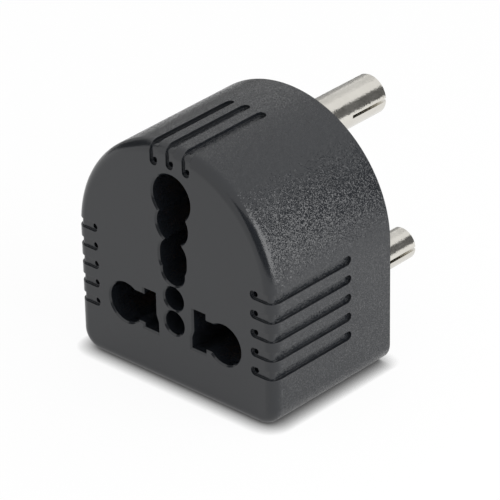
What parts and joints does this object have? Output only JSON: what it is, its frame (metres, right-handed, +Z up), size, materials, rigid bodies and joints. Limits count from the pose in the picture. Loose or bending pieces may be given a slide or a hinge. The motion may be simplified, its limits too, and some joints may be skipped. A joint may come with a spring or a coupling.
{
  "type": "plug adapter",
  "caption": "Moulded plug adapter with an arched body, multi-standard socket openings in its face and split round pins behind.",
  "frame": {"origin": "centre of the object's length and width, on the flat bottom that it stands on", "axes": "+X to the right seen from the socket face, +Y from the socket face to the pins, +Z up to the arch"},
  "size_m": [0.0532, 0.0608, 0.0545],
  "materials": {
    "housing_plastic": "near-black moulding, smooth face, fine grained walls",
    "cover_plastic": "near-black moulding, fine grain",
    "carrier_plastic": "black moulding",
    "pin_plating": "bright nickel plating on turned brass",
    "contact_brass": "rolled strip",
    "spring_steel": "blank spring strip",
    "screw_steel": "zinc plated"
  },
  "bodies": {
    "root": {"contact_carrier": "carrier_plastic", "contact_screws": "screw_steel", "cover_screws": "screw_steel", "earth_contact": "contact_brass", "earth_pin": "pin_plating", "earth_spring_clip": "spring_steel", "front_housing": "housing_plastic", "live_blade_contact": "contact_brass", "live_contact": "contact_brass", "live_pin": "pin_plating", "live_spring_clip": "spring_steel", "neutral_blade_contact": "contact_brass", "neutral_contact": "contact_brass", "neutral_pin": "pin_plating", "neutral_spring_clip": "spring_steel", "rear_cover": "cover_plastic", "spring_washers": "screw_steel"}
  },
  "joints": []
}
